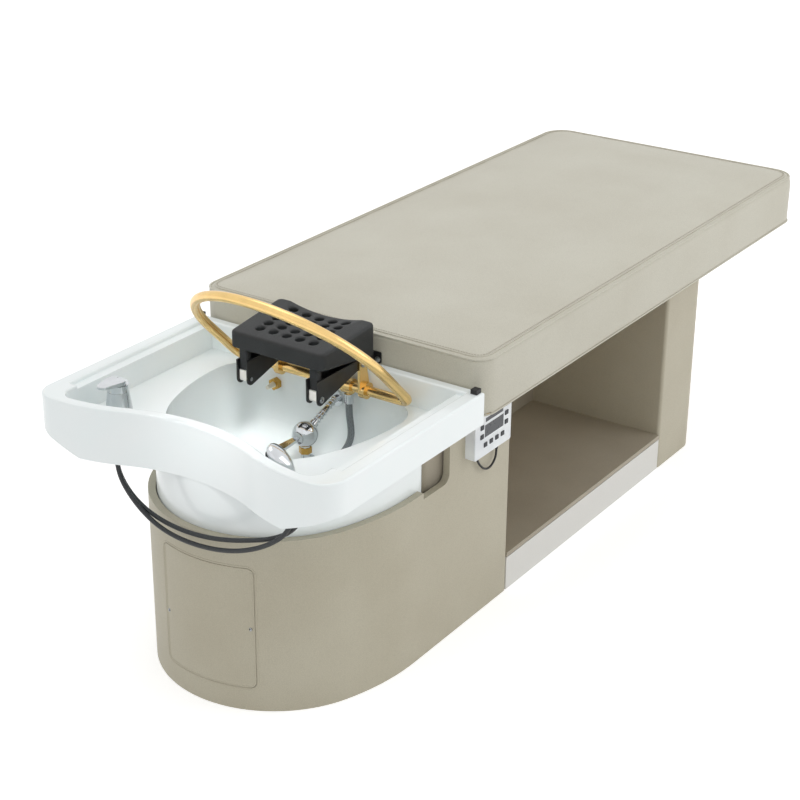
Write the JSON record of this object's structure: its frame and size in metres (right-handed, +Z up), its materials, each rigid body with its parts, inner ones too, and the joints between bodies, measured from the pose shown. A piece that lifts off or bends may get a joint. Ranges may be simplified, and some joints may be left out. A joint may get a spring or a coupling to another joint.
{
  "type": "hair washing bed",
  "caption": "Upholstered hair washing bed with a deep basin, a perforated neck rest, a swinging rinse hoop, a control box and an open storage bay.",
  "frame": {"origin": "on the floor under the middle of the whole bed", "axes": "+X along the bed to its foot, +Y to the far side from the storage bay, +Z up"},
  "size_m": [1.9704, 0.7, 0.7813],
  "materials": {
    "upholstery": "satin",
    "upholstery_inner": "satin",
    "timber": "matte",
    "plinth": "matte",
    "basin_white": "gloss",
    "strainer_steel": "satin",
    "trap_white": "matte",
    "bumper_rubber": "matte",
    "arm_black": "matte",
    "fixing_steel": "satin",
    "block_white": "matte",
    "rest_grey": "matte",
    "gold": "satin",
    "brass_raw": "satin",
    "chrome": "polished",
    "hose_grey": "satin",
    "hose_dark": "satin",
    "nozzle_clear": "satin",
    "box_grey": "matte",
    "window_dark": "gloss",
    "key_dark": "matte",
    "cable_black": "matte"
  },
  "bodies": {
    "bed": {"cabinet_shell": "upholstery", "access_panel": "upholstery", "access_screws": "fixing_steel", "cabinet_floor": "timber", "door_battens": "timber", "tub_bearers": "timber", "bay_floor": "upholstery_inner", "bay_back": "upholstery_inner", "plinth_board": "plinth", "rear_panel": "upholstery", "foot_leg": "upholstery", "couch_frame": "timber", "couch_deck": "timber", "couch_cushion": "upholstery", "basin": "basin_white", "drain_strainer": "strainer_steel", "waste_trap": "trap_white", "rim_bumpers": "bumper_rubber", "headrest_arms": "arm_black", "arm_fixings": "fixing_steel", "hinge_pins": "fixing_steel", "hoop_clamps": "gold", "hoop_inlet": "gold", "hose_ferrules": "chrome", "rinse_hose": "hose_grey", "valve_plate": "chrome", "valve_body": "chrome", "valve_nut": "brass_raw", "rinse_spout": "brass_raw", "spout_nozzle": "nozzle_clear", "mixer_foot": "chrome", "handset_socket": "chrome", "supply_ferrules": "chrome", "supply_hose_front": "hose_dark", "supply_hose_back": "hose_dark", "box_back": "box_grey", "box_front": "box_grey", "box_window": "window_dark", "box_gland": "cable_black", "control_cable": "cable_black"},
    "hoop": {"rinse_hoop": "gold"},
    "neck_rest": {"headrest_pad": "rest_grey", "hinge_blocks": "block_white"},
    "valve_handle": {"valve_lever": "chrome"},
    "mixer_turn": {"mixer_cap": "chrome"},
    "mixer_handle": {"mixer_lever": "chrome"},
    "handset": {"hand_shower": "chrome"},
    "button_left_upper": {"key_left_upper": "key_dark"},
    "button_left_lower": {"key_left_lower": "key_dark"},
    "button_right_upper": {"key_right_upper": "key_dark"},
    "button_right_lower": {"key_right_lower": "key_dark"},
    "button_row_1": {"key_row_1": "key_dark"},
    "button_row_2": {"key_row_2": "key_dark"},
    "button_row_3": {"key_row_3": "key_dark"},
    "button_row_4": {"key_row_4": "key_dark"}
  },
  "joints": [
    {"name": "hoop_swing", "type": "hinge", "parent": "bed", "child": "hoop", "pos_m": [-0.53525, 0, 0.533], "axis": [0, 1, 0], "range_deg": [-30, 40]},
    {"name": "neck_rest_lift", "type": "hinge", "parent": "bed", "child": "neck_rest", "pos_m": [-0.67025, 0, 0.56], "axis": [0, -1, 0], "range_deg": [0, 35]},
    {"name": "valve_turn", "type": "hinge", "parent": "bed", "child": "valve_handle", "pos_m": [-0.62225, -0.021, 0.449], "axis": [0, 1, 0], "range_deg": [-12, 22]},
    {"name": "mixer_swivel", "type": "hinge", "parent": "bed", "child": "mixer_turn", "pos_m": [-0.86425, 0.24, 0.5643], "axis": [0, 0, 1], "range_deg": [-60, 60]},
    {"name": "mixer_lift", "type": "hinge", "parent": "mixer_turn", "child": "mixer_handle", "pos_m": [-0.85585, 0.24, 0.5831], "axis": [0, 1, 0], "range_deg": [0, 25]},
    {"name": "handset_lift", "type": "slide", "parent": "bed", "child": "handset", "axis": [0, 0, 1], "range_m": [0, 0.12]},
    {"name": "key_left_upper_press", "type": "slide", "parent": "bed", "child": "button_left_upper", "axis": [0, 1, 0], "range_m": [0, 0.001], "stiffness_N_per_m": 400, "springref_m": -0.001},
    {"name": "key_left_lower_press", "type": "slide", "parent": "bed", "child": "button_left_lower", "axis": [0, 1, 0], "range_m": [0, 0.001], "stiffness_N_per_m": 400, "springref_m": -0.001},
    {"name": "key_right_upper_press", "type": "slide", "parent": "bed", "child": "button_right_upper", "axis": [0, 1, 0], "range_m": [0, 0.001], "stiffness_N_per_m": 400, "springref_m": -0.001},
    {"name": "key_right_lower_press", "type": "slide", "parent": "bed", "child": "button_right_lower", "axis": [0, 1, 0], "range_m": [0, 0.001], "stiffness_N_per_m": 400, "springref_m": -0.001},
    {"name": "key_row_1_press", "type": "slide", "parent": "bed", "child": "button_row_1", "axis": [0, 1, 0], "range_m": [0, 0.001], "stiffness_N_per_m": 400, "springref_m": -0.001},
    {"name": "key_row_2_press", "type": "slide", "parent": "bed", "child": "button_row_2", "axis": [0, 1, 0], "range_m": [0, 0.001], "stiffness_N_per_m": 400, "springref_m": -0.001},
    {"name": "key_row_3_press", "type": "slide", "parent": "bed", "child": "button_row_3", "axis": [0, 1, 0], "range_m": [0, 0.001], "stiffness_N_per_m": 400, "springref_m": -0.001},
    {"name": "key_row_4_press", "type": "slide", "parent": "bed", "child": "button_row_4", "axis": [0, 1, 0], "range_m": [0, 0.001], "stiffness_N_per_m": 400, "springref_m": -0.001}
  ]
}
